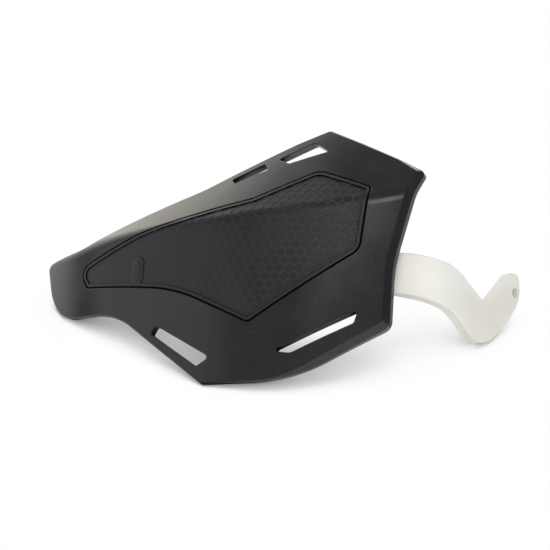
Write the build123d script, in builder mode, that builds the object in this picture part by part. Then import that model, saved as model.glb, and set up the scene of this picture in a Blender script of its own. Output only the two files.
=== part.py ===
"""Motorcycle hand guard: wrapped shell, inset panel and bent mounting arm."""
import os
from math import cos, radians, sin, tan

from build123d import *

os.makedirs("parts", exist_ok=True)

# Front faces of the shell: foremost point at the origin, X inboard, Y back, Z up
WRAP_R = 240.0  # lower face, bent about an upright line
BROW_R = 340.0  # upper face, bent about a line that slopes up and back
BROW_RISE = 48.5  # slope of that line, degrees
BROW_HEADING = 23.0  # plan angle of that line, inboard of straight back, degrees
BROW_SWING = 13.5  # turn of the brow's middle toward the outer end, degrees
CREST_Z = 36.0  # height of the crest between the faces
CREST_R = 14.0  # rounding of the crest
WALL = 3.5
WELD = 1.0  # overlap of each moulded feature with the wall
ROUND_SHARE = 0.98  # share of an outline's side that its two corners may take up

# Outline of the shell in the front view: corners and their roundings
LOBE_X = -164.5
LOBE_TOP = 23.4
LOBE_R = 5.0
LOBE_FOOT = -22.6
LOBE_SLANT = 17.5
FOOT_R = 43.0
KNEE_X = -121.0
KNEE_Z = 26.3
KNEE_R = 60.0
SADDLE_X = -35.0
SADDLE_Z = 63.5
SADDLE_R = 60.0
TEMPLE_X = 20.0
TEMPLE_Z = 101.3
TEMPLE_R = 60.0
PEAK_X = 40.5
PEAK_Z = 113.3
PEAK_R = 4.0
SHOULDER_X = 112.9
SHOULDER_Z = 74.6
SHOULDER_R = 5.0
WAIST_X = 99.3
WAIST_Z = 8.0
WAIST_R = 120.0
HIP_X = 99.3
HIP_Z = -32.2
HIP_R = 9.0
KEEL_X = 42.5
KEEL_Z = -70.5
KEEL_R = 94.0
TIP_X = -13.6
TIP_Z = -73.4
TIP_R = 5.0
ROOT_X = -85.0
ROOT_Z = -24.1
ROOT_R = 60.0

# Broken outer edge, bevelled lip of the inboard edge and the return behind it
EDGE = 0.9
LIP = 4.0
LIP_PLAY = 0.5  # start of the lip's bevel outside the outline
LIP_SPREAD = 12.0  # how far the bevel leaves the outline at its two ends
RIM_T = 4.5
RIM_SHIFT = 12.0
RIM_DROP = 4.0

# Inset panel and its seat in the shell
SEAT_DEPTH = 1.6
BOND = 0.1
GROOVE = 1.1
BEAD_W = 1.9
BEAD_PROUD = 0.15
FIELD_DEPTH = 0.55
KNOB_X = -69.0
KNOB_Z = 3.2
KNOB_W = 9.5
KNOB_H = 20.0
KNOB_PROUD = 0.2
KNOB_EDGE = 0.5

# Corners of the panel: distances from the shell's corners, and roundings
TOE_IN = 40.5
TOE_BELOW = 12.9
TOE_R = 8.0
CHIN_IN = 51.1
CHIN_ABOVE = 19.0
CHIN_R = 4.0
BELLY_IN = 46.8
BELLY_ABOVE = 12.8
BELLY_R = 120.0
POINT_IN = 27.8
POINT_ABOVE = 39.2
POINT_R = 5.0
FLANK_IN = 18.5
FLANK_ABOVE = 7.0
FLANK_R = 12.0
EAR_IN = 28.3
EAR_BELOW = 15.4
EAR_R = 6.0
CROWN_IN = 5.0
CROWN_BELOW = 39.0
CROWN_R = 12.0
BEND_OUT = 32.8
BEND_BELOW = 62.2
BEND_R = 5.0
NAPE_OUT = 33.3
NAPE_BELOW = 33.5
NAPE_R = 60.0

# Vent slots: distances of their corners from the shell's corners, roundings, and collars
WEDGE_OUT = 28.5
WEDGE_BELOW = 26.8
WEDGE_TOP_OUT = 7.2
WEDGE_TOP_BELOW = 12.0
WEDGE_END_IN = 5.8
WEDGE_END_BELOW = 21.0
WEDGE_LOW_OUT = 19.0
WEDGE_LOW_BELOW = 31.0
STRIP_OUT = 56.5
STRIP_BELOW = 42.8
STRIP_TOP_OUT = 37.0
STRIP_TOP_BELOW = 29.8
STRIP_END_OUT = 32.5
STRIP_END_BELOW = 35.5
STRIP_LOW_OUT = 53.0
STRIP_LOW_BELOW = 47.0
OUTER_OUT = 36.9
OUTER_ABOVE = 39.0
OUTER_LOW_OUT = 39.9
OUTER_LOW_ABOVE = 33.6
OUTER_END_OUT = 4.7
OUTER_END_ABOVE = 11.5
OUTER_TOP_IN = 4.0
OUTER_TOP_ABOVE = 17.4
INNER_OUT = 12.0
INNER_ABOVE = 18.6
INNER_TOP_OUT = 17.8
INNER_TOP_ABOVE = 9.0
INNER_END_OUT = 20.0
INNER_END_ABOVE = 0.4
INNER_LOW_ABOVE = 17.9
SLOT_TIGHT_R = 1.2
SLOT_R = 2.0
SLOT_NOSE_R = 6.0
COLLAR_W = 2.4
COLLAR_DEPTH = 3.0

# Mounting arm: seat on the shell, bend and leg
ARM_BEARING = 18.0  # place of the seat round the wrap, degrees
ARM_DEPTH = 20.5  # seat behind the front face
ARM_T = 8.0
ARM_TAIL = 20.0
ARM_BEND_AT = 57.0
ARM_BEND = 45.0  # degrees
ARM_BEND_R = 38.0
STRAP_TOP = 20.6
STRAP_LOW = -6.2
TAIL_R = 9.0
ARM_EDGE = 0.6
EYE_S = 80.9
EYE_Z = 12.7
EYE_D = 6.6

# Outline of the arm's leg: distances of its corners from the eye, the notch and the heel, and roundings
NECK_TOP_S = -12.0
NECK_LOW_S = -14.0
NECK_R = 30.0
NOTCH_S = 50.9
NOTCH_Z = -1.7
NOTCH_R = 1.0
SLOPE_OUT = 30.4
SLOPE_ABOVE = 18.4
SLOPE_R = 45.0
HORN_OUT = 5.7
HORN_ABOVE = 12.5
HORN_R = 1.5
CAP_IN = 2.7
CAP_ABOVE = 13.5
CAP_R = 5.0
END_IN = 7.5
END_BELOW = 2.2
END_R = 28.0
CALF_IN = 25.2
CALF_ABOVE = 22.7
CALF_R = 60.0
HEEL_S = 47.6
HEEL_Z = -32.7
HEEL_R = 19.0
SHIN_OUT = 30.1
SHIN_ABOVE = 20.4
SHIN_R = 40.0

# Fasteners of the arm
SCREW_MID = 4.0
SCREW_PITCH = 24.0
SCREW_D = 5.0
SCREW_PLAY = 0.25
HEAD_D = 9.5
HEAD_H = 2.8
HEAD_EDGE = 1.0
SOCKET_AF = 3.0
SOCKET_DEPTH = 1.6
WASHER_D = 11.0
WASHER_T = 1.0
INSERT_D = 7.0
INSERT_L = 8.0
INSERT_PLAY = 0.05
THREAD_PLAY = 0.05
BOSS_D = 14.0
WEB_T = 3.0

# Rest on the floor
LEAN = 36.93  # degrees
ROLL = -9.72  # degrees

# Working block round the shell
BOX_X = 360.0
BOX_Y = 160.0
BOX_Z = 280.0
BOX_FRONT = -30.0

FRONT = Plane.XZ.offset(-BOX_FRONT)


def skin(depth):
    """Solid behind the front faces, sunk below them by a depth."""
    axis = Vector(
        sin(radians(BROW_HEADING)) * cos(radians(BROW_RISE)),
        cos(radians(BROW_HEADING)) * cos(radians(BROW_RISE)),
        sin(radians(BROW_RISE)),
    )
    side = axis.cross(Vector(0, 0, 1)).normalized()
    over = side.cross(axis)
    normal = side * sin(radians(BROW_SWING)) + over * cos(radians(BROW_SWING))
    centre = Vector(0, 0, CREST_Z) - normal * BROW_R
    with BuildPart() as body:
        with BuildSketch(FRONT):
            Rectangle(BOX_X, BOX_Z)
        extrude(amount=-BOX_Y)
        with BuildSketch(Plane((0, WRAP_R, 0), x_dir=(0, 1, 0))):
            Circle(WRAP_R - depth)
        extrude(amount=BOX_Z, both=True, mode=Mode.INTERSECT)
        with BuildSketch(Plane(centre, x_dir=-normal, z_dir=axis)):
            Circle(BROW_R - depth)
        extrude(amount=BOX_X, both=True, mode=Mode.INTERSECT)
        crest = body.edges().sort_by_distance((0, depth, CREST_Z))[0]
        fillet(crest, CREST_R - depth)
    return body.part


def corners(*rows):
    """Points and radii of a closed outline, each rounding kept within its two sides."""
    points = [Vector(*row[:2]) for row in rows]
    sides = [points[i] - points[i - 1] for i in range(len(points))]
    sides.append(sides[0])
    slopes = [tan(radians(sides[i].get_angle(sides[i + 1])) / 2) for i in range(len(points))]
    reaches = [row[2] * slope for row, slope in zip(rows, slopes)]
    shares = [min(1.0, ROUND_SHARE * sides[i].length / max(reaches[i - 1] + reaches[i], 1e-9))
              for i in range(len(points))]
    shares.append(shares[0])
    radii = [row[2] * min(shares[i], shares[i + 1]) for i, row in enumerate(rows)]
    return points, radii


front_body = skin(0)
seat_body = skin(SEAT_DEPTH)
bond_body = skin(SEAT_DEPTH - BOND)
bead_body = skin(-BEAD_PROUD)
field_body = skin(FIELD_DEPTH)
knob_body = skin(-KNOB_PROUD)
weld_body = skin(WALL - WELD)
wall_body = skin(WALL)
collar_body = skin(WALL + COLLAR_DEPTH)

shell_points, shell_radii = corners(
    (LOBE_X, LOBE_TOP, LOBE_R),
    (KNEE_X, KNEE_Z, KNEE_R),
    (SADDLE_X, SADDLE_Z, SADDLE_R),
    (TEMPLE_X, TEMPLE_Z, TEMPLE_R),
    (PEAK_X, PEAK_Z, PEAK_R),
    (SHOULDER_X, SHOULDER_Z, SHOULDER_R),
    (WAIST_X, WAIST_Z, WAIST_R),
    (HIP_X, HIP_Z, HIP_R),
    (KEEL_X, KEEL_Z, KEEL_R),
    (TIP_X, TIP_Z, TIP_R),
    (ROOT_X, ROOT_Z, ROOT_R),
    (LOBE_X + LOBE_SLANT, LOBE_FOOT, FOOT_R),
)
lip_points, lip_radii = corners(
    (-BOX_X / 2, -BOX_Z / 2, 0),
    (-BOX_X / 2, BOX_Z / 2, 0),
    (PEAK_X, PEAK_Z + LIP_SPREAD, 0),
    (SHOULDER_X, SHOULDER_Z, SHOULDER_R),
    (WAIST_X, WAIST_Z, WAIST_R),
    (HIP_X, HIP_Z, HIP_R),
    (KEEL_X, KEEL_Z, KEEL_R),
    (TIP_X, TIP_Z - LIP_SPREAD, 0),
)
panel_points, panel_radii = corners(
    (LOBE_X + TOE_IN, LOBE_TOP - TOE_BELOW, TOE_R),
    (LOBE_X + CHIN_IN, LOBE_FOOT + CHIN_ABOVE, CHIN_R),
    (ROOT_X + BELLY_IN, ROOT_Z + BELLY_ABOVE, BELLY_R),
    (TIP_X + POINT_IN, TIP_Z + POINT_ABOVE, POINT_R),
    (WAIST_X - FLANK_IN, WAIST_Z + FLANK_ABOVE, FLANK_R),
    (SHOULDER_X - EAR_IN, SHOULDER_Z - EAR_BELOW, EAR_R),
    (PEAK_X + CROWN_IN, PEAK_Z - CROWN_BELOW, CROWN_R),
    (PEAK_X - BEND_OUT, PEAK_Z - BEND_BELOW, BEND_R),
    (SADDLE_X - NAPE_OUT, SADDLE_Z - NAPE_BELOW, NAPE_R),
)
slot_outlines = [
    corners(
        (PEAK_X - WEDGE_OUT, PEAK_Z - WEDGE_BELOW, SLOT_TIGHT_R),
        (PEAK_X - WEDGE_TOP_OUT, PEAK_Z - WEDGE_TOP_BELOW, SLOT_R),
        (PEAK_X + WEDGE_END_IN, PEAK_Z - WEDGE_END_BELOW, SLOT_TIGHT_R),
        (PEAK_X - WEDGE_LOW_OUT, PEAK_Z - WEDGE_LOW_BELOW, SLOT_R),
    ),
    corners(
        (PEAK_X - STRIP_OUT, PEAK_Z - STRIP_BELOW, SLOT_TIGHT_R),
        (PEAK_X - STRIP_TOP_OUT, PEAK_Z - STRIP_TOP_BELOW, SLOT_TIGHT_R),
        (PEAK_X - STRIP_END_OUT, PEAK_Z - STRIP_END_BELOW, SLOT_TIGHT_R),
        (PEAK_X - STRIP_LOW_OUT, PEAK_Z - STRIP_LOW_BELOW, SLOT_TIGHT_R),
    ),
    corners(
        (TIP_X - OUTER_OUT, TIP_Z + OUTER_ABOVE, SLOT_R),
        (TIP_X - OUTER_LOW_OUT, TIP_Z + OUTER_LOW_ABOVE, SLOT_TIGHT_R),
        (TIP_X - OUTER_END_OUT, TIP_Z + OUTER_END_ABOVE, SLOT_TIGHT_R),
        (TIP_X + OUTER_TOP_IN, TIP_Z + OUTER_TOP_ABOVE, SLOT_R),
    ),
    corners(
        (KEEL_X - INNER_OUT, KEEL_Z + INNER_ABOVE, SLOT_TIGHT_R),
        (HIP_X - INNER_TOP_OUT, HIP_Z + INNER_TOP_ABOVE, SLOT_TIGHT_R),
        (HIP_X - INNER_END_OUT, HIP_Z + INNER_END_ABOVE, SLOT_R),
        (KEEL_X, KEEL_Z + INNER_LOW_ABOVE, SLOT_NOSE_R),
    ),
]

bearing = radians(ARM_BEARING)
arm_seat = Plane(
    ((WRAP_R - ARM_DEPTH) * sin(bearing), WRAP_R - (WRAP_R - ARM_DEPTH) * cos(bearing), 0),
    x_dir=(cos(bearing), sin(bearing), 0),
    z_dir=(sin(bearing), -cos(bearing), 0),
)
heading = radians(ARM_BEARING + ARM_BEND)
arm_leg = Plane(
    arm_seat.origin + arm_seat.x_dir * ARM_BEND_AT,
    x_dir=(cos(heading), sin(heading), 0),
    z_dir=(sin(heading), -cos(heading), 0),
)
strap_mid = (STRAP_TOP + STRAP_LOW) / 2
screw_spots = [(SCREW_MID + side * SCREW_PITCH / 2, strap_mid) for side in (-1, 1)]
washer_face = arm_seat.offset(-ARM_T)
head_face = arm_seat.offset(-ARM_T - WASHER_T)

# Front with the bevelled lip on its inboard edge, wider than the shell elsewhere
with BuildPart() as lip_front:
    with BuildSketch(FRONT):
        with BuildLine():
            FilletPolyline(*lip_points, radius=lip_radii, close=True)
        make_face()
        offset(amount=LIP_PLAY, kind=Kind.INTERSECTION, mode=Mode.REPLACE)
    extrude(amount=-BOX_Y)
    add(front_body, mode=Mode.INTERSECT)
    sides = lip_front.faces().filter_by(lambda face: abs(face.normal_at().Y) < 0.001)
    brink = sides.edges().filter_by(Axis.Y, reverse=True).filter_by_position(Axis.Y, BOX_FRONT, BOX_Y / 2)
    brink = brink.filter_by(lambda edge: edge.center().X > TIP_X)
    chamfer(brink, LIP + LIP_PLAY)

# Edge return
with BuildPart() as edge_rim:
    with BuildSketch(FRONT):
        with BuildLine():
            FilletPolyline(*shell_points, radius=shell_radii, close=True)
        make_face()
        offset(amount=-RIM_T, mode=Mode.SUBTRACT)
    extrude(amount=-BOX_Y)
    add(weld_body, mode=Mode.INTERSECT)
    add(lip_front.part, mode=Mode.INTERSECT)
    add(wall_body.moved(Pos(-RIM_SHIFT, 0, -RIM_DROP)), mode=Mode.SUBTRACT)

# Collars behind the vent slots
with BuildPart() as slot_collars:
    with BuildSketch(FRONT):
        for points, radii in slot_outlines:
            with BuildLine():
                FilletPolyline(*points, radius=radii, close=True)
            make_face()
        offset(amount=COLLAR_W)
    extrude(amount=-BOX_Y)
    add(weld_body, mode=Mode.INTERSECT)
    add(collar_body, mode=Mode.SUBTRACT)

# Bosses that carry the arm, with a web between them
with BuildPart() as arm_bosses:
    with BuildSketch(arm_seat):
        with Locations(*screw_spots):
            Circle(BOSS_D / 2)
    extrude(amount=ARM_DEPTH * 2)
    with BuildSketch(arm_seat.offset(WEB_T)):
        with Locations((SCREW_MID, strap_mid)):
            Rectangle(SCREW_PITCH, WEB_T)
    extrude(amount=ARM_DEPTH * 2)
    add(weld_body, mode=Mode.INTERSECT)

# Front of the panel seat
with BuildPart() as panel_seat:
    with BuildSketch(FRONT):
        with BuildLine():
            FilletPolyline(*panel_points, radius=panel_radii, close=True)
        make_face()
    extrude(amount=-BOX_Y)
    add(seat_body, mode=Mode.SUBTRACT)

with BuildPart() as shell:
    with BuildSketch(FRONT):
        with BuildLine():
            FilletPolyline(*shell_points, radius=shell_radii, close=True)
        make_face()
    extrude(amount=-BOX_Y)
    add(front_body, mode=Mode.INTERSECT)
    sides = shell.faces().filter_by(lambda face: abs(face.normal_at().Y) < 0.001)
    brink = sides.edges().filter_by(Axis.Y, reverse=True).filter_by_position(Axis.Y, BOX_FRONT, BOX_Y / 2)
    chamfer(brink, EDGE)
    add(lip_front.part, mode=Mode.INTERSECT)
    add(wall_body, mode=Mode.SUBTRACT)
    add(edge_rim.part)
    add(slot_collars.part)
    add(arm_bosses.part)
    add(panel_seat.part, mode=Mode.SUBTRACT)
    with BuildSketch(FRONT):
        for points, radii in slot_outlines:
            with BuildLine():
                FilletPolyline(*points, radius=radii, close=True)
            make_face()
    extrude(amount=-BOX_Y, mode=Mode.SUBTRACT)
    with BuildSketch(arm_seat):
        with Locations(*screw_spots):
            Circle(INSERT_D / 2 + INSERT_PLAY)
    extrude(amount=INSERT_L + WELD, mode=Mode.SUBTRACT)

# Space above the sunk field of the panel
with BuildPart() as panel_field:
    with BuildSketch(FRONT):
        with BuildLine():
            FilletPolyline(*panel_points, radius=panel_radii, close=True)
        make_face()
        offset(amount=-GROOVE - BEAD_W, mode=Mode.REPLACE)
    extrude(amount=-BOX_Y)
    add(field_body, mode=Mode.SUBTRACT)

# Raised oval knob of the panel
with BuildPart() as panel_knob:
    with BuildSketch(FRONT):
        with Locations((KNOB_X, KNOB_Z)):
            SlotOverall(KNOB_H, KNOB_W, rotation=90)
    extrude(amount=-BOX_Y)
    add(knob_body, mode=Mode.INTERSECT)
    chamfer(panel_knob.faces().sort_by(Axis.Y)[0].edges(), KNOB_EDGE)
    add(bond_body, mode=Mode.SUBTRACT)

with BuildPart() as inset_panel:
    with BuildSketch(FRONT):
        with BuildLine():
            FilletPolyline(*panel_points, radius=panel_radii, close=True)
        make_face()
        offset(amount=-GROOVE, mode=Mode.REPLACE)
    extrude(amount=-BOX_Y)
    add(bead_body, mode=Mode.INTERSECT)
    add(bond_body, mode=Mode.SUBTRACT)
    add(panel_field.part, mode=Mode.SUBTRACT)
    add(panel_knob.part)

with BuildPart() as mounting_arm:
    with BuildSketch(Plane.XY):
        with BuildLine():
            FilletPolyline(
                arm_seat.from_local_coords((-ARM_TAIL, 0, 0)),
                arm_leg.origin,
                arm_leg.from_local_coords((EYE_S * 2, 0, 0)),
                radius=ARM_BEND_R,
            )
            offset(amount=ARM_T, side=Side.LEFT)
        make_face()
    extrude(amount=BOX_Z / 2, both=True)
    with BuildSketch(arm_leg):
        with BuildLine():
            arm_points, arm_radii = corners(
                (-BOX_X, STRAP_TOP, 0),
                (NECK_TOP_S, STRAP_TOP, NECK_R),
                (NOTCH_S - SLOPE_OUT, NOTCH_Z + SLOPE_ABOVE, SLOPE_R),
                (NOTCH_S, NOTCH_Z, NOTCH_R),
                (EYE_S - HORN_OUT, EYE_Z + HORN_ABOVE, HORN_R),
                (EYE_S + CAP_IN, EYE_Z + CAP_ABOVE, CAP_R),
                (EYE_S + END_IN, EYE_Z - END_BELOW, END_R),
                (HEEL_S + CALF_IN, HEEL_Z + CALF_ABOVE, CALF_R),
                (HEEL_S, HEEL_Z, HEEL_R),
                (HEEL_S - SHIN_OUT, HEEL_Z + SHIN_ABOVE, SHIN_R),
                (NECK_LOW_S, STRAP_LOW, NECK_R),
                (-BOX_X, STRAP_LOW, 0),
            )
            FilletPolyline(*arm_points, radius=arm_radii, close=True)
        make_face()
    extrude(amount=BOX_X, both=True, mode=Mode.INTERSECT)
    tail = mounting_arm.edges().filter_by(Axis((0, 0, 0), arm_seat.z_dir)).sort_by(Axis.X)[:2]
    fillet(tail, TAIL_R)
    broad = mounting_arm.faces().filter_by(lambda face: abs(face.normal_at().Z) < 0.001)
    broad = broad.filter_by(lambda face: abs(face.normal_at().dot(arm_leg.z_dir)) > 0.6)
    chamfer(broad.edges().filter_by(Axis.Z, reverse=True), ARM_EDGE)
    with BuildSketch(arm_seat):
        with Locations(*screw_spots):
            Circle(SCREW_D / 2 + SCREW_PLAY)
    extrude(amount=-ARM_T * 2, mode=Mode.SUBTRACT)
    with BuildSketch(arm_leg):
        with Locations((EYE_S, EYE_Z)):
            Circle(EYE_D / 2)
    extrude(amount=ARM_T * 2, both=True, mode=Mode.SUBTRACT)

with BuildPart() as boss_inserts:
    with BuildSketch(arm_seat):
        with Locations(*screw_spots):
            Circle(INSERT_D / 2)
            Circle(SCREW_D / 2 + THREAD_PLAY, mode=Mode.SUBTRACT)
    extrude(amount=INSERT_L)

with BuildPart() as screw_washers:
    with BuildSketch(washer_face):
        with Locations(*screw_spots):
            Circle(WASHER_D / 2)
            Circle(SCREW_D / 2 + SCREW_PLAY, mode=Mode.SUBTRACT)
    extrude(amount=-WASHER_T)

with BuildPart() as arm_screws:
    with BuildSketch(head_face):
        with Locations(*screw_spots):
            Circle(HEAD_D / 2)
    extrude(amount=-HEAD_H)
    crowns = arm_screws.edges().group_by(Axis((0, 0, 0), arm_seat.z_dir))[0]
    chamfer(crowns, HEAD_EDGE)
    with BuildSketch(head_face.offset(-HEAD_H)):
        with Locations(*screw_spots):
            RegularPolygon(SOCKET_AF / 2, 6, major_radius=False)
    extrude(amount=SOCKET_DEPTH, mode=Mode.SUBTRACT)
    with BuildSketch(head_face):
        with Locations(*screw_spots):
            Circle(SCREW_D / 2)
    extrude(amount=WASHER_T + ARM_T + INSERT_L)

# Rest pose: on the lobe, the tip and the arm's heel, centred over the floor's origin
pieces = [shell, inset_panel, mounting_arm, boss_inserts, screw_washers, arm_screws]
tilt = Rotation(-LEAN, ROLL, 0)
box = Compound([piece.part.moved(tilt) for piece in pieces]).bounding_box()
rest = Pos(-box.center().X, -box.center().Y, -box.min.Z) * tilt
for piece in pieces:
    piece.part.move(rest)
    piece.part.relocate(Location())

shell.part.label = "shell"
export_step(shell.part, "parts/shell.step")
inset_panel.part.label = "inset_panel"
export_step(inset_panel.part, "parts/inset_panel.step")
mounting_arm.part.label = "mounting_arm"
export_step(mounting_arm.part, "parts/mounting_arm.step")
boss_inserts.part.label = "boss_inserts"
export_step(boss_inserts.part, "parts/boss_inserts.step")
screw_washers.part.label = "screw_washers"
export_step(screw_washers.part, "parts/screw_washers.step")
arm_screws.part.label = "arm_screws"
export_step(arm_screws.part, "parts/arm_screws.step")
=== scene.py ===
"""Looks of the motorcycle hand guard: moulded finishes, honeycomb panel and a white studio."""

import logging
import math
from dataclasses import dataclass, field, replace
from enum import Enum

import bmesh
import bpy
from mathutils import Matrix, Vector
from mathutils.bvhtree import BVHTree


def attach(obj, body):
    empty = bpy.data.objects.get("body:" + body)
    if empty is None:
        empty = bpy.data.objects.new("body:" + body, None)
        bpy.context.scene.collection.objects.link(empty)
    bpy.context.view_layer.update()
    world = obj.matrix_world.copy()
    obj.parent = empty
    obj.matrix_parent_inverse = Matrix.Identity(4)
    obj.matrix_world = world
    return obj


log = logging.getLogger("hand_guard")
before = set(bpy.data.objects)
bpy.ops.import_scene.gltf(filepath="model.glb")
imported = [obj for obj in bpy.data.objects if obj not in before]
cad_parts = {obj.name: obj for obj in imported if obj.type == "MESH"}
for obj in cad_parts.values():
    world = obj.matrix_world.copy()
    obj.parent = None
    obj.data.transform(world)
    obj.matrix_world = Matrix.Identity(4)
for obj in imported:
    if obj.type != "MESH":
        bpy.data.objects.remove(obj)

Rgb = tuple[float, float, float]
Span = tuple[float, float]

MM = 0.001
ROOT = "root"
WHITE: Rgb = (1.0, 1.0, 1.0)

# Specular level of a plain surface, the lower level that dims reflections as painted shade on the side that looks
# inboard, and how far a face may turn from that side
SPECULAR = 0.5
PAINTED_SHADE_SPECULAR = 0.08
PAINTED_SHADE_FACING: Span = (0.80, 0.95)
# Painted shade: colour that slots, grooves and other recesses are darkened towards
PAINTED_CREVICE_SHADE: Rgb = (0.002, 0.002, 0.002)

# Light that goes into a pale plastic: its share, and how far each colour goes
DEPTH_SHARE = 0.25
DEPTH_TONE: Rgb = (1.0, 0.85, 0.65)

# Start of a ray behind the guard, and the nearest that two points of a mesh come
RAY_START = 1.0
NEAREST = 1e-6


class Node(Enum):
    """CAD nodes of the guard."""

    SHELL = "shell"
    PANEL = "inset_panel"
    ARM = "mounting_arm"
    INSERTS = "boss_inserts"
    WASHERS = "screw_washers"
    SCREWS = "arm_screws"


class Slot(Enum):
    """Material slots of the record."""

    SHELL = "shell_plastic"
    PANEL = "panel_plastic"
    ARM = "arm_nylon"
    BRASS = "insert_brass"
    WASHER = "washer_steel"
    SCREW = "screw_steel"


@dataclass(frozen=True)
class Finish:
    """Surface of one piece.

    Args:
        tone: Main colour, linear.
        shade: Colour of the darker patches, linear.
        roughness: Lowest and highest roughness.
        grain: Grain size in millimetres.
        relief: Height of the grain in millimetres.
        edge: Radius of rounded edges in millimetres.
        dust: Colour of settled dust, linear.
        dust_amount: Most of the tone that dust covers.
        metallic: One for bare metal.
        depth: How far light goes in, in millimetres; zero for none.
        fade: Row X at which the tone starts, and where it is full, in millimetres, in place of patches; it lays a
            painted highlight that grows along X.
        crevice_shade_reach: How near a facing wall has to be for painted shade to darken a place, in colour and in
            reflections, in millimetres; zero for none.
        painted_shade_side: Direction of the side whose reflections are dimmed as painted shade, on a finish with
            crevices.
    """

    tone: Rgb
    shade: Rgb
    roughness: Span
    grain: float
    relief: float
    edge: float
    dust: Rgb = (0.30, 0.29, 0.27)
    dust_amount: float = 0.0
    metallic: float = 0.0
    depth: float = 0.0
    fade: Span | None = None
    crevice_shade_reach: float = 0.0
    painted_shade_side: Rgb | None = None


FINISHES: dict[Slot, Finish] = {
    Slot.SHELL: Finish(
        tone=(0.0150, 0.0150, 0.0144), shade=(0.0115, 0.0115, 0.0115), roughness=(0.20, 0.29),
        grain=0.45, relief=0.004, edge=1.0, dust_amount=0.05, crevice_shade_reach=10.0, painted_shade_side=(0.986, 0.102, 0.135),
    ),
    Slot.PANEL: Finish(
        tone=(0.0130, 0.0134, 0.0146), shade=(0.0095, 0.0098, 0.0107), roughness=(0.40, 0.54),
        grain=0.55, relief=0.045, edge=0.3, dust_amount=0.03, crevice_shade_reach=4.0,
    ),
    Slot.ARM: Finish(
        tone=(0.78, 0.765, 0.705), shade=(0.72, 0.70, 0.635), roughness=(0.40, 0.52),
        grain=0.60, relief=0.008, edge=0.8, dust=(0.42, 0.39, 0.34), dust_amount=0.06, depth=1.5,
    ),
    Slot.BRASS: Finish(
        tone=(0.72, 0.52, 0.22), shade=(0.55, 0.38, 0.15), roughness=(0.25, 0.40),
        grain=0.30, relief=0.004, edge=0.2, metallic=1.0,
    ),
    Slot.WASHER: Finish(
        tone=(0.62, 0.62, 0.60), shade=(0.48, 0.48, 0.47), roughness=(0.28, 0.42),
        grain=0.25, relief=0.004, edge=0.2, metallic=1.0,
    ),
    Slot.SCREW: Finish(
        tone=(0.55, 0.55, 0.54), shade=(0.40, 0.40, 0.40), roughness=(0.25, 0.40),
        grain=0.25, relief=0.004, edge=0.3, metallic=1.0,
    ),
}

# Painted highlight: the honeycomb walls are toned lighter than the panel, as if they caught light, growing from
# shade to tone towards the inboard end
RIDGE_HIGHLIGHT_FINISH = replace(
    FINISHES[Slot.PANEL], tone=(0.037, 0.038, 0.042), shade=(0.0172, 0.0177, 0.0192), roughness=(0.32, 0.44),
    relief=0.010, edge=0.15, fade=(0.0, 85.0), crevice_shade_reach=0.0,
)

NODE_SLOTS: dict[Node, Slot] = {
    Node.SHELL: Slot.SHELL,
    Node.PANEL: Slot.PANEL,
    Node.ARM: Slot.ARM,
    Node.INSERTS: Slot.BRASS,
    Node.WASHERS: Slot.WASHER,
    Node.SCREWS: Slot.SCREW,
}


@dataclass(frozen=True)
class GuardAxes:
    """Guard's own axes at rest: X inboard, Y back and Z up the front, as it is drawn in CAD.

    Args:
        lean: Lean back on the floor, in degrees.
        roll: Drop of the inboard side, in degrees.
        origin: Foremost point of the lower face, in millimetres.
    """

    lean: float = 36.93
    roll: float = -9.72
    origin: Rgb = (3.391, -43.750, 61.842)

    def matrix(self) -> Matrix:
        """Place of the guard's axes in the row frame.

        Returns:
            Matrix from guard metres to row metres.
        """
        turn = Matrix.Rotation(math.radians(-self.lean), 4, "X") @ Matrix.Rotation(math.radians(self.roll), 4, "Y")
        return Matrix.Translation(Vector(self.origin) * MM) @ turn


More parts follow.
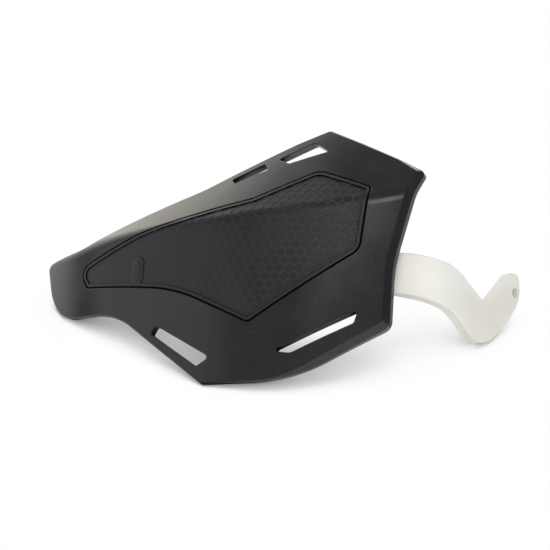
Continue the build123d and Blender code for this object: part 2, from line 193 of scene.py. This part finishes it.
@dataclass
class NodeTree:
    """Small helper that adds shader nodes and links to a tree.

    Args:
        tree: Tree that takes the nodes.
    """

    tree: bpy.types.NodeTree

    def add(self, kind: str, **settings: object) -> bpy.types.Node:
        """Add a node.

        Args:
            kind: Node type name.
            settings: Properties of the node.

        Returns:
            The new node.
        """
        node = self.tree.nodes.new(kind)
        for name, value in settings.items():
            setattr(node, name, value)
        return node

    def group(self, tree: bpy.types.NodeTree, **values: float) -> bpy.types.Node:
        """Add a node group.

        Args:
            tree: Tree of the group.
            values: Numbers for its inputs.

        Returns:
            The new node.
        """
        node = self.add("ShaderNodeGroup", node_tree=tree)
        for name, value in values.items():
            node.inputs[name].default_value = value
        return node

    def link(self, source: bpy.types.NodeSocket, target: bpy.types.NodeSocket) -> None:
        """Link two sockets.

        Args:
            source: Output socket.
            target: Input socket.
        """
        self.tree.links.new(source, target)

    def put(self, value: bpy.types.NodeSocket | float | tuple[float, ...], target: bpy.types.NodeSocket) -> None:
        """Link a socket to an input, or set the input.

        Args:
            value: Output socket, number or colour.
            target: Input socket.
        """
        if isinstance(value, bpy.types.NodeSocket):
            self.link(value, target)
        else:
            target.default_value = value

    def place(self) -> bpy.types.NodeSocket:
        """Add object coordinates.

        Returns:
            Place on the object, in metres.
        """
        return self.add("ShaderNodeTexCoord").outputs["Object"]

    def maths(self, operation: str, *values: bpy.types.NodeSocket | float) -> bpy.types.NodeSocket:
        """Add a math node.

        Args:
            operation: Math operation.
            values: Sockets and numbers that it works on.

        Returns:
            Output socket of the node.
        """
        node = self.add("ShaderNodeMath", operation=operation)
        for socket, value in zip(node.inputs, values):
            self.put(value, socket)
        return node.outputs[0]

    def facing(self, vector: bpy.types.NodeSocket, direction: Rgb) -> bpy.types.NodeSocket:
        """Compare a vector with a direction.

        Args:
            vector: Vector socket.
            direction: Fixed direction.

        Returns:
            One where they agree and zero at a right angle.
        """
        node = self.add("ShaderNodeVectorMath", operation="DOT_PRODUCT")
        self.link(vector, node.inputs[0])
        node.inputs[1].default_value = direction
        return node.outputs["Value"]

    def part(self, vector: bpy.types.NodeSocket, axis: str) -> bpy.types.NodeSocket:
        """Take one part of a vector.

        Args:
            vector: Vector socket.
            axis: X, Y or Z.

        Returns:
            Number socket.
        """
        node = self.add("ShaderNodeSeparateXYZ")
        self.link(vector, node.inputs["Vector"])
        return node.outputs[axis]

    def spread(self, value: bpy.types.NodeSocket, low: float, high: float) -> bpy.types.NodeSocket:
        """Stretch a value so that low becomes 0 and high becomes 1.

        Args:
            value: Socket to stretch.
            low: Value that becomes 0.
            high: Value that becomes 1.

        Returns:
            Clamped output socket.
        """
        node = self.add("ShaderNodeMapRange", interpolation_type="SMOOTHSTEP")
        self.link(value, node.inputs["Value"])
        node.inputs["From Min"].default_value = low
        node.inputs["From Max"].default_value = high
        return node.outputs["Result"]

    def noise(self, place: bpy.types.NodeSocket, scale: bpy.types.NodeSocket | float,
              detail: float) -> bpy.types.NodeSocket:
        """Add a noise texture.

        Args:
            place: Coordinates.
            scale: Bumps in a metre.
            detail: Octaves of finer noise.

        Returns:
            Noise between 0 and 1.
        """
        node = self.add("ShaderNodeTexNoise")
        self.link(place, node.inputs["Vector"])
        self.put(scale, node.inputs["Scale"])
        node.inputs["Detail"].default_value = detail
        return node.outputs["Fac"]

    def blend(self, mask: bpy.types.NodeSocket, first: bpy.types.NodeSocket | Rgb,
              second: bpy.types.NodeSocket | Rgb) -> bpy.types.NodeSocket:
        """Mix two colours by a mask.

        Args:
            mask: Mask socket.
            first: Colour at 0.
            second: Colour at 1.

        Returns:
            Mixed colour socket.
        """
        mix = self.add("ShaderNodeMix", data_type="RGBA")
        factor, start, end = (mix.inputs[index] for index in (0, 6, 7))
        self.link(mask, factor)
        for colour, socket in ((first, start), (second, end)):
            self.put((*colour, 1.0) if isinstance(colour, tuple) else colour, socket)
        return mix.outputs[2]


@dataclass
class EffectGroups:
    """Shader node groups shared by all finishes.

    Args:
        noise_rate: How much finer the noise of the grain is than its pebbles.
        noise_share: Height of that noise against the pebbles.
        patch_scale: Slow patches in a metre.
        patch_range: Noise at which a patch starts, and where it is full.
        rub_scale: Rub marks in a metre, along them and across.
        rub_turn: Turn of the rub marks, in radians.
        rub_range: Noise at which a rub mark starts, and where it is full.
        rub_share: Part of the gloss that rub marks take.
        dust_facing: Upward share of the normal at which dust starts, and where it is full.
        speck_scale: Specks of dust in a metre.
        speck_range: Noise at which a speck starts, and where it is full.
        cloud_scale: Clouds of dust in a metre.
        open_range: Openness at which the painted crevice shade is darkest, and where it ends.
    """

    noise_rate: float = 2.3
    noise_share: float = 0.6
    patch_scale: float = 28.0
    patch_range: Span = (0.35, 0.68)
    rub_scale: Rgb = (40.0, 900.0, 900.0)
    rub_turn: Rgb = (0.4, 0.2, 0.5)
    rub_range: Span = (0.60, 0.74)
    rub_share: float = 0.3
    dust_facing: Span = (0.25, 0.95)
    speck_scale: float = 900.0
    speck_range: Span = (0.45, 0.75)
    cloud_scale: float = 45.0
    open_range: Span = (0.45, 0.95)
    grain: bpy.types.NodeTree = field(init=False)
    patches: bpy.types.NodeTree = field(init=False)
    settled: bpy.types.NodeTree = field(init=False)
    crevice_shade_group: bpy.types.NodeTree = field(init=False)

    def __post_init__(self) -> None:
        """Build the groups."""
        self.grain = self.make_grain()
        self.patches = self.make_patches()
        self.settled = self.make_settled()
        self.crevice_shade_group = self.make_crevice_shade()

    @staticmethod
    def start(name: str, inputs: tuple[str, ...],
              outputs: dict[str, str]) -> tuple[NodeTree, bpy.types.Node, bpy.types.Node]:
        """Start a node group.

        Args:
            name: Name of the group.
            inputs: Names of its number inputs.
            outputs: Names and socket types of its outputs.

        Returns:
            The tree helper, the input node and the output node.
        """
        tree = bpy.data.node_groups.new(name, "ShaderNodeTree")
        for label in inputs:
            tree.interface.new_socket(label, in_out="INPUT", socket_type="NodeSocketFloat")
        for label, kind in outputs.items():
            tree.interface.new_socket(label, in_out="OUTPUT", socket_type=kind)
        kit = NodeTree(tree)
        return kit, kit.add("NodeGroupInput"), kit.add("NodeGroupOutput")

    def make_grain(self) -> bpy.types.NodeTree:
        """Moulded grain, pebbles over fine noise, on edges that are slightly rounded.

        Returns:
            Group with a normal.
        """
        kit, inlet, outlet = self.start("moulded_grain", ("Size", "Height", "Edge"), {"Normal": "NodeSocketVector"})
        place = kit.place()
        rate = kit.maths("DIVIDE", 1.0, inlet.outputs["Size"])
        pebbles = kit.add("ShaderNodeTexVoronoi", feature="SMOOTH_F1")
        kit.link(place, pebbles.inputs["Vector"])
        kit.link(rate, pebbles.inputs["Scale"])
        fine = kit.noise(place, kit.maths("MULTIPLY", rate, self.noise_rate), detail=3.0)
        height = kit.maths("ADD", pebbles.outputs["Distance"], kit.maths("MULTIPLY", fine, self.noise_share))
        edges = kit.add("ShaderNodeBevel", samples=6)
        kit.link(inlet.outputs["Edge"], edges.inputs["Radius"])
        bump = kit.add("ShaderNodeBump")
        kit.link(edges.outputs["Normal"], bump.inputs["Normal"])
        kit.link(height, bump.inputs["Height"])
        kit.link(inlet.outputs["Height"], bump.inputs["Distance"])
        kit.link(bump.outputs["Normal"], outlet.inputs["Normal"])
        return kit.tree

    def make_patches(self) -> bpy.types.NodeTree:
        """Slow patches and fine rub marks that vary tone and gloss.

        Returns:
            Group with a patch mask and a gloss mask.
        """
        kit, _, outlet = self.start("handled_patches", (), {"Patch": "NodeSocketFloat", "Gloss": "NodeSocketFloat"})
        place = kit.place()
        slow = kit.noise(place, self.patch_scale, detail=4.0)
        stretch = kit.add("ShaderNodeMapping")
        stretch.inputs["Scale"].default_value = self.rub_scale
        stretch.inputs["Rotation"].default_value = self.rub_turn
        kit.link(place, stretch.inputs["Vector"])
        rubs = kit.noise(stretch.outputs["Vector"], 1.0, detail=2.0)
        patch = kit.spread(slow, *self.patch_range)
        streak = kit.maths("MULTIPLY", kit.spread(rubs, *self.rub_range), self.rub_share)
        gloss = kit.maths("MULTIPLY_ADD", patch, 1.0 - self.rub_share, streak)
        kit.link(patch, outlet.inputs["Patch"])
        kit.link(gloss, outlet.inputs["Gloss"])
        return kit.tree

    def make_settled(self) -> bpy.types.NodeTree:
        """Thin dust on faces that look up.

        Returns:
            Group with a dust mask.
        """
        kit, _, outlet = self.start("settled_dust", (), {"Dust": "NodeSocketFloat"})
        place = kit.place()
        shape = kit.add("ShaderNodeNewGeometry")
        upward = kit.spread(kit.part(shape.outputs["Normal"], "Z"), *self.dust_facing)
        specks = kit.spread(kit.noise(place, self.speck_scale, detail=5.0), *self.speck_range)
        thick = kit.maths("MULTIPLY", specks, kit.noise(place, self.cloud_scale, detail=2.0))
        kit.link(kit.maths("MULTIPLY", upward, thick), outlet.inputs["Dust"])
        return kit.tree

    def make_crevice_shade(self) -> bpy.types.NodeTree:
        """Painted shade: openness of a place, low in slots and grooves, which darkens their colour and reflections.

        Returns:
            Group with an openness mask.
        """
        kit, inlet, outlet = self.start("painted_crevice_shade", ("Reach",), {"Open": "NodeSocketFloat"})
        around = kit.add("ShaderNodeAmbientOcclusion", samples=8)
        kit.link(inlet.outputs["Reach"], around.inputs["Distance"])
        kit.link(kit.spread(around.outputs["AO"], *self.open_range), outlet.inputs["Open"])
        return kit.tree


@dataclass
class MaterialShop:
    """Materials made from the finishes.

    Args:
        effects: Shared shader groups.
    """

    effects: EffectGroups
    made: dict[Slot, bpy.types.Material] = field(default_factory=dict)

    def get(self, slot: Slot) -> bpy.types.Material:
        """Material of a slot.

        Args:
            slot: Slot of the record.

        Returns:
            The slot's material.
        """
        if slot not in self.made:
            self.made[slot] = self.make(slot.value, FINISHES[slot])
        return self.made[slot]

    def make(self, name: str, finish: Finish) -> bpy.types.Material:
        """Build one procedural material.

        Args:
            name: Name of the material.
            finish: Its surface.

        Returns:
            The new material.
        """
        material = bpy.data.materials.new(name)
        material.use_nodes = True
        material.diffuse_color = (*finish.tone, 1.0)
        kit = NodeTree(material.node_tree)
        kit.tree.nodes.clear()
        shader = kit.add("ShaderNodeBsdfPrincipled")
        output = kit.add("ShaderNodeOutputMaterial")
        kit.link(shader.outputs["BSDF"], output.inputs["Surface"])

        patches = kit.group(self.effects.patches)
        colour = self.colour(kit, finish, patches.outputs["Patch"])
        # Painted shade: ambient occlusion darkens the colour and the specular level in slots, grooves and recesses
        if finish.crevice_shade_reach:
            crevice_shade_node = kit.group(self.effects.crevice_shade_group, Reach=finish.crevice_shade_reach * MM)
            colour = kit.blend(crevice_shade_node.outputs["Open"], PAINTED_CREVICE_SHADE, colour)
            kit.link(self.shine(kit, finish, crevice_shade_node.outputs["Open"]), shader.inputs["Specular IOR Level"])
        kit.link(colour, shader.inputs["Base Color"])

        low, high = finish.roughness
        rough = kit.maths("MULTIPLY_ADD", patches.outputs["Gloss"], high - low, low)
        kit.link(rough, shader.inputs["Roughness"])
        grain = kit.group(self.effects.grain, Size=finish.grain * MM, Height=finish.relief * MM,
                          Edge=finish.edge * MM)
        kit.link(grain.outputs["Normal"], shader.inputs["Normal"])
        shader.inputs["Metallic"].default_value = finish.metallic
        if finish.depth:
            shader.inputs["Subsurface Weight"].default_value = DEPTH_SHARE
            shader.inputs["Subsurface Radius"].default_value = DEPTH_TONE
            shader.inputs["Subsurface Scale"].default_value = finish.depth * MM
        return material

    def colour(self, kit: NodeTree, finish: Finish, patch: bpy.types.NodeSocket) -> bpy.types.NodeSocket:
        """Tone and shade under a veil of dust.

        Args:
            kit: Tree that takes the nodes.
            finish: Surface of the piece.
            patch: Patch mask.

        Returns:
            Colour socket.
        """
        mask = patch
        # Painted highlight: with a fade, the colour runs from shade to a lighter tone along X
        if finish.fade:
            mask = kit.spread(kit.part(kit.place(), "X"), *(edge * MM for edge in finish.fade))
        tone = kit.blend(mask, finish.shade, finish.tone)
        dust = kit.group(self.effects.settled)
        veil = kit.maths("MULTIPLY", dust.outputs["Dust"], finish.dust_amount)
        return kit.blend(veil, tone, finish.dust)

    @staticmethod
    def shine(kit: NodeTree, finish: Finish, openness: bpy.types.NodeSocket) -> bpy.types.NodeSocket:
        """Specular level, lowered as painted shade in crevices and on the side that looks along painted_shade_side.

        Args:
            kit: Tree that takes the nodes.
            finish: Surface of the piece.
            openness: Openness mask.

        Returns:
            Specular level socket.
        """
        level = SPECULAR
        # Painted shade: faces that look along painted_shade_side get a far lower specular level, so their
        # reflections are dimmed
        if finish.painted_shade_side:
            shape = kit.add("ShaderNodeNewGeometry")
            painted_side = kit.spread(kit.facing(shape.outputs["Normal"], finish.painted_shade_side), *PAINTED_SHADE_FACING)
            level = kit.maths("MULTIPLY_ADD", painted_side, PAINTED_SHADE_SPECULAR - SPECULAR, SPECULAR)
        return kit.maths("MULTIPLY", openness, level)


def panel_back(axes: GuardAxes) -> BVHTree:
    """Search tree of the panel in the guard's own axes.

    Args:
        axes: Guard's own axes.

    Returns:
        Tree of the panel's triangles.
    """
    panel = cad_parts[Node.PANEL.value].data
    to_guard = axes.matrix().inverted()
    points = [to_guard @ vertex.co for vertex in panel.vertices]
    return BVHTree.FromPolygons(points, [list(face.vertices) for face in panel.polygons])


def drop_on(back: BVHTree, point: Vector) -> tuple[Vector, Vector] | None:
    """Back of the panel behind a point of the front view.

    Args:
        back: Search tree of the panel.
        point: Point of the flat layout, in metres.

    Returns:
        Point and inward direction in guard metres, or None off the panel.
    """
    hit, normal, _, _ = back.ray_cast(Vector((point.x, RAY_START, point.y)), Vector((0, -1, 0)))
    return None if hit is None else (hit, normal)


def panel_piece(name: str, bm: bmesh.types.BMesh, material: bpy.types.Material, smooth: bool) -> bpy.types.Object:
    """Turn a finished mesh into a piece that rides with the panel.

    Args:
        name: Name of the piece.
        bm: Its mesh, which is freed.
        material: Its material.
        smooth: Whether its faces are shaded smooth.

    Returns:
        The new object.
    """
    for face in bm.faces:
        face.smooth = smooth
    mesh = bpy.data.meshes.new(name)
    bm.to_mesh(mesh)
    bm.free()
    mesh.materials.append(material)
    piece = bpy.data.objects.new(name, mesh)
    bpy.context.scene.collection.objects.link(piece)
    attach(piece, ROOT)
    log.info("%s: %d faces", name, len(mesh.polygons))
    return piece


@dataclass
class HoneycombField:
    """Raised honeycomb walls on the sunk field of the panel, laid out in the guard's front view.

    The walls run on under the panel's border and end inside it.

    Args:
        axes: Guard's own axes.
        pitch: Cell size across flats, in millimetres.
        weld: How near the corners of two cells are joined, as a share of the pitch.
        wall_top: Width of a wall at its top, in millimetres.
        wall_slope: Width of each sloping side, in millimetres.
        height: Tallest wall, in millimetres.
        sink: Depth of a wall's foot in the field, in millimetres.
        field_rise: Field above the back of the panel, in millimetres.
        fade: Guard X at which the walls have run out, and where they are full, in millimetres.
        crest_fade: Upward share of the normal at which the walls stand again, and where they are full.
        least: Share of the height below which a cell is left out.
        span: Lowest and highest guard X, then Z, that are laid out, in millimetres.
    """

    axes: GuardAxes
    pitch: float = 6.0
    weld: float = 0.01
    wall_top: float = 0.30
    wall_slope: float = 0.22
    height: float = 0.26
    sink: float = 0.05
    field_rise: float = 0.95
    fade: Span = (-45.0, 60.0)
    crest_fade: Span = (0.01, 0.20)
    least: float = 0.05
    span: tuple[float, float, float, float] = (-130.0, 90.0, -40.0, 80.0)

    def build(self, back: BVHTree, material: bpy.types.Material) -> bpy.types.Object:
        """Make the walls as one piece.

        Args:
            back: Search tree of the panel.
            material: Material of the walls.

        Returns:
            The new object.
        """
        bm = bmesh.new()
        self.lay_cells(bm, back)
        cells = bm.faces[:]
        rise = self.height + self.sink
        bmesh.ops.inset_individual(bm, faces=cells, thickness=self.wall_top / 2 * MM, use_even_offset=True)
        bmesh.ops.inset_individual(bm, faces=cells, thickness=self.wall_slope * MM, depth=-rise * MM,
                                   use_even_offset=True)
        bmesh.ops.delete(bm, geom=cells, context="FACES")
        bmesh.ops.subdivide_edges(bm, edges=bm.edges, cuts=1, use_grid_fill=True)
        self.wrap(bm, back)
        return panel_piece("panel_honeycomb", bm, material, smooth=False)

    def lay_cells(self, bm: bmesh.types.BMesh, back: BVHTree) -> None:
        """Tile the front view with flat cells and keep those that lie on the panel.

        Args:
            bm: Mesh that takes the cells.
            back: Search tree of the panel.
        """
        low_x, high_x, low_z, high_z = self.span
        row_step = self.pitch * math.sqrt(3) / 2
        for row in range(int((high_z - low_z) / row_step)):
            for column in range(int((high_x - low_x) / self.pitch)):
                x = low_x + (column + row % 2 / 2) * self.pitch
                place = Matrix.Translation(Vector((x, low_z + row * row_step, 0)) * MM)
                bmesh.ops.create_circle(bm, cap_ends=True, segments=6, radius=self.pitch / math.sqrt(3) * MM,
                                        matrix=place)
        bmesh.ops.remove_doubles(bm, verts=bm.verts, dist=self.pitch * self.weld * MM)
        outside = [face for face in bm.faces if any(drop_on(back, vert.co) is None for vert in face.verts)]
        bmesh.ops.delete(bm, geom=outside, context="FACES")
        flat = [face for face in bm.faces
                if max(self.share(vert.co, drop_on(back, vert.co)[1]) for vert in face.verts) < self.least]
        bmesh.ops.delete(bm, geom=flat, context="FACES")

    def share(self, point: Vector, inward: Vector) -> float:
        """How far the walls stand up at a place.

        Args:
            point: Point of the flat layout, in metres.
            inward: Inward direction of the panel there.

        Returns:
            Zero where there are none and one where they are full.
        """
        low, high = self.fade
        along = (point.x / MM - low) / (high - low)
        low, high = self.crest_fade
        above = (-inward.z - low) / (high - low)
        return min(max(along, above, 0.0), 1.0)

    def wrap(self, bm: bmesh.types.BMesh, back: BVHTree) -> None:
        """Move the flat walls on to the field, lower towards the outer end.

        Args:
            bm: Mesh of the walls; its height is measured from their tops.
            back: Search tree of the panel.
        """
        place = self.axes.matrix()
        missed = [vert for vert in bm.verts if drop_on(back, vert.co) is None]
        bmesh.ops.delete(bm, geom=missed, context="VERTS")
        for vert in bm.verts:
            hit, inward = drop_on(back, vert.co)
            stand = self.share(vert.co, inward)
            rise = (self.height * MM + vert.co.z + self.sink * MM) * stand - self.sink * MM
            vert.co = place @ (hit - inward * (self.field_rise * MM + rise))


@dataclass
class KnobDome:
    """Soft dome on the panel's oval knob.

    Args:
        axes: Guard's own axes.
        centre: Middle of the knob in the front view, in millimetres.
        half: Half width and half height of the dome, in millimetres.
        rise: Height of the dome, in millimetres.
        sink: Depth of its rim in the knob, in millimetres.
        knob_rise: Top of the knob above the back of the panel, in millimetres.
        cap: Angle from the top of a ball to the rim of the cap that the dome is made of, in degrees.
        segments: Faces round the ball, and from its top to its foot.
    """

    axes: GuardAxes
    centre: Span = (-69.0, 3.2)
    half: Span = (4.3, 9.5)
    rise: float = 0.7
    sink: float = 0.06
    knob_rise: float = 1.7
    cap: float = 50.0
    segments: tuple[int, int] = (48, 36)

    def build(self, back: BVHTree, material: bpy.types.Material) -> bpy.types.Object:
        """Make the dome as one piece.

        Args:
            back: Search tree of the panel.
            material: Material of the panel.

        Returns:
            The new object.
        """
        bm = bmesh.new()
        around, down = self.segments
        bmesh.ops.create_uvsphere(bm, u_segments=around, v_segments=down, radius=1.0)
        rim = math.cos(math.radians(self.cap))
        bmesh.ops.bisect_plane(bm, geom=bm.verts[:] + bm.edges[:] + bm.faces[:], dist=NEAREST,
                               plane_co=(0, 0, rim), plane_no=(0, 0, 1), clear_inner=True)
        bmesh.ops.translate(bm, verts=bm.verts, vec=(0, 0, -rim))
        reach = math.sin(math.radians(self.cap))
        wide, tall = (size / reach * MM for size in self.half)
        bmesh.ops.scale(bm, verts=bm.verts, vec=(wide, tall, self.rise / (1 - rim) * MM))
        bmesh.ops.translate(bm, verts=bm.verts, vec=Vector((*self.centre, 0)) * MM)
        place = self.axes.matrix()
        for vert in bm.verts:
            hit, inward = drop_on(back, vert.co)
            vert.co = place @ (hit - inward * ((self.knob_rise - self.sink) * MM + vert.co.z))
        return panel_piece("panel_knob_dome", bm, material, smooth=True)


@dataclass(frozen=True)
class Softbox:
    """Area light.

    Args:
        name: Name of the light.
        place: Position in metres.
        target: Point it faces, in metres.
        size: Width and height in metres.
        watts: Power.
        mirrored: Whether glossy surfaces show it.
    """

    name: str
    place: Rgb
    target: Rgb
    size: Span
    watts: float
    mirrored: bool = True


@dataclass
class Studio:
    """White floor, soft light and the photo's camera.

    Args:
        camera_place: Camera position in millimetres.
        camera_right: Direction to the right of the picture.
        camera_up: Direction up the picture.
        focal_mm: Focal length in millimetres.
        sensor_mm: Width of the sensor in millimetres.
        clip: Nearest and farthest point that the camera shows, in metres.
        floor_size: Side of the floor in metres.
        floor_tone: Colour of the floor.
        white_from: Distance from the middle at which the floor starts to turn white, and where it is, in metres.
        shadow_reach: How near a thing has to be to shade the floor for the camera, in metres.
        shadow_range: Openness of the darkest place on the floor, and of a white one.
        room_front: Brightness of the room in front.
        room_back: Brightness of the room behind.
        room_turn: Backward share of a direction at which the front ends, and where the back starts.
        room_tone: Colour of the room.
        wall_aim: Direction of the low wall behind on the left.
        wall_width: Share of that direction at which the wall starts, and where it is full.
        wall_height: Upward share of a direction at which the wall has ended, and where it is full.
        wall_glow: Added brightness of the wall.
        wall_tone: Colour of the wall.
        boxes: Area lights.
    """

    camera_place: Rgb = (390.59, -855.34, 452.48)
    camera_right: Rgb = (0.9182, 0.3958, -0.0148)
    camera_up: Rgb = (-0.1467, 0.3746, 0.9155)
    focal_mm: float = 101.45
    sensor_mm: float = 36.0
    clip: Span = (0.01, 50.0)
    floor_size: float = 8.0
    floor_tone: Rgb = (0.98, 0.98, 0.98)
    white_from: Span = (0.22, 0.75)
    shadow_reach: float = 0.075
    shadow_range: Span = (0.25, 1.0)
    room_front: float = 0.22
    room_back: float = 0.16
    room_turn: Span = (-0.3, 0.4)
    room_tone: Rgb = (0.92, 0.97, 1.08)
    wall_aim: Rgb = (-0.6, 0.8, 0.0)
    wall_width: Span = (0.55, 0.95)
    wall_height: Span = (0.70, 0.38)
    wall_glow: float = 1.8
    wall_tone: Rgb = (1.0, 0.97, 0.87)
    boxes: tuple[Softbox, ...] = (
        Softbox("overhead", (-0.1, 0.1, 1.3), (0.0, 0.0, 0.0), (1.6, 1.4), 7.5, mirrored=False),
        Softbox("front_fill", (0.35, -1.15, 0.75), (0.0, 0.0, 0.03), (1.0, 0.8), 7.0, mirrored=False),
        Softbox("right_fill", (1.1, -0.7, 0.6), (0.05, 0.0, 0.05), (0.8, 0.6), 4.9, mirrored=False),
        Softbox("front_right", (0.37, -0.46, 1.27), (0.05, 0.0, 0.05), (0.6, 0.42), 2.8),
        Softbox("front_left", (-1.07, -0.60, 0.63), (0.0, 0.0, 0.05), (1.35, 0.85), 2.3),
    )

    def build(self) -> None:
        """Make everything round the object."""
        self.floor()
        self.world()
        for box in self.boxes:
            self.light(box)
        self.camera()

    def floor(self) -> None:
        """Make the floor."""
        bm = bmesh.new()
        bmesh.ops.create_grid(bm, x_segments=1, y_segments=1, size=self.floor_size / 2)
        mesh = bpy.data.meshes.new("floor")
        bm.to_mesh(mesh)
        bm.free()
        floor = bpy.data.objects.new("floor", mesh)
        bpy.context.scene.collection.objects.link(floor)
        mesh.materials.append(self.paper())

    def paper(self) -> bpy.types.Material:
        """Make the floor's material, white far from the object and to the camera where nothing shades it.

        Returns:
            The new material.
        """
        material = bpy.data.materials.new("floor_paper")
        material.use_nodes = True
        kit = NodeTree(material.node_tree)
        kit.tree.nodes.clear()
        paper = kit.add("ShaderNodeBsdfDiffuse")
        paper.inputs["Color"].default_value = (*self.floor_tone, 1.0)
        glow = kit.add("ShaderNodeEmission")
        path = kit.add("ShaderNodeLightPath")
        shown = kit.maths("MAXIMUM", path.outputs["Is Glossy Ray"], path.outputs["Is Transmission Ray"])
        shown = kit.maths("MAXIMUM", shown, path.outputs["Is Camera Ray"])
        reach = kit.add("ShaderNodeVectorMath", operation="LENGTH")
        kit.link(kit.place(), reach.inputs[0])
        far = kit.maths("MULTIPLY", kit.spread(reach.outputs["Value"], *self.white_from), shown)
        openness = kit.add("ShaderNodeAmbientOcclusion", samples=12)
        openness.inputs["Distance"].default_value = self.shadow_reach
        lit = kit.spread(openness.outputs["AO"], *self.shadow_range)
        near = kit.maths("MULTIPLY", lit, path.outputs["Is Camera Ray"])
        mix = kit.add("ShaderNodeMixShader")
        kit.link(kit.maths("MAXIMUM", far, near), mix.inputs["Fac"])
        kit.link(paper.outputs["BSDF"], mix.inputs[1])
        kit.link(glow.outputs["Emission"], mix.inputs[2])
        output = kit.add("ShaderNodeOutputMaterial")
        kit.link(mix.outputs["Shader"], output.inputs["Surface"])
        return material

    def world(self) -> None:
        """Make a dim room with a bright low wall behind on the left; the camera sees white."""
        world = bpy.data.worlds.new("studio")
        world.use_nodes = True
        bpy.context.scene.world = world
        kit = NodeTree(world.node_tree)
        kit.tree.nodes.clear()
        aim = kit.add("ShaderNodeTexCoord").outputs["Generated"]
        behind = kit.spread(kit.part(aim, "Y"), *self.room_turn)
        room = kit.maths("MULTIPLY_ADD", behind, self.room_back - self.room_front, self.room_front)
        sideways = kit.spread(kit.facing(aim, self.wall_aim), *self.wall_width)
        wall = kit.maths("MULTIPLY", sideways, kit.spread(kit.part(aim, "Z"), *self.wall_height))
        room = kit.maths("MULTIPLY_ADD", wall, self.wall_glow, room)
        seen = kit.add("ShaderNodeLightPath").outputs["Is Camera Ray"]
        unseen = kit.maths("SUBTRACT", 1.0, seen)
        sky = kit.add("ShaderNodeBackground")
        kit.link(kit.maths("MULTIPLY_ADD", room, unseen, seen), sky.inputs["Strength"])
        tone = kit.blend(wall, self.room_tone, self.wall_tone)
        kit.link(kit.blend(seen, tone, WHITE), sky.inputs["Color"])
        output = kit.add("ShaderNodeOutputWorld")
        kit.link(sky.outputs["Background"], output.inputs["Surface"])

    @staticmethod
    def light(box: Softbox) -> None:
        """Make an area light.

        Args:
            box: Its settings.
        """
        lamp = bpy.data.lights.new(box.name, "AREA")
        lamp.shape = "RECTANGLE"
        lamp.size, lamp.size_y = box.size
        lamp.energy = box.watts
        holder = bpy.data.objects.new(box.name, lamp)
        holder.location = box.place
        holder.visible_glossy = box.mirrored
        holder.rotation_euler = (Vector(box.target) - Vector(box.place)).to_track_quat("-Z", "Y").to_euler()
        bpy.context.scene.collection.objects.link(holder)

    def camera(self) -> None:
        """Make the camera at the photo's place."""
        data = bpy.data.cameras.new("photo_camera")
        data.lens = self.focal_mm
        data.sensor_width = self.sensor_mm
        data.clip_start, data.clip_end = self.clip
        holder = bpy.data.objects.new("photo_camera", data)
        right, up = Vector(self.camera_right).normalized(), Vector(self.camera_up).normalized()
        turn = Matrix((right, up, right.cross(up))).transposed().to_4x4()
        holder.matrix_world = Matrix.Translation(Vector(self.camera_place) * MM) @ turn
        bpy.context.scene.collection.objects.link(holder)
        bpy.context.scene.camera = holder


def main() -> None:
    """Dress the CAD frame and build the studio."""
    logging.basicConfig(level=logging.INFO)
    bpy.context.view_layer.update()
    shop = MaterialShop(EffectGroups())
    for node, slot in NODE_SLOTS.items():
        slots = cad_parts[node.value].data.materials
        slots.clear()
        slots.append(shop.get(slot))
    axes = GuardAxes()
    back = panel_back(axes)
    HoneycombField(axes).build(back, shop.make("panel_ridges_painted_highlight", RIDGE_HIGHLIGHT_FINISH))
    KnobDome(axes).build(back, shop.get(Slot.PANEL))
    Studio().build()
    bpy.context.scene.view_settings.view_transform = "Standard"


if __name__ == "__main__":
    main()
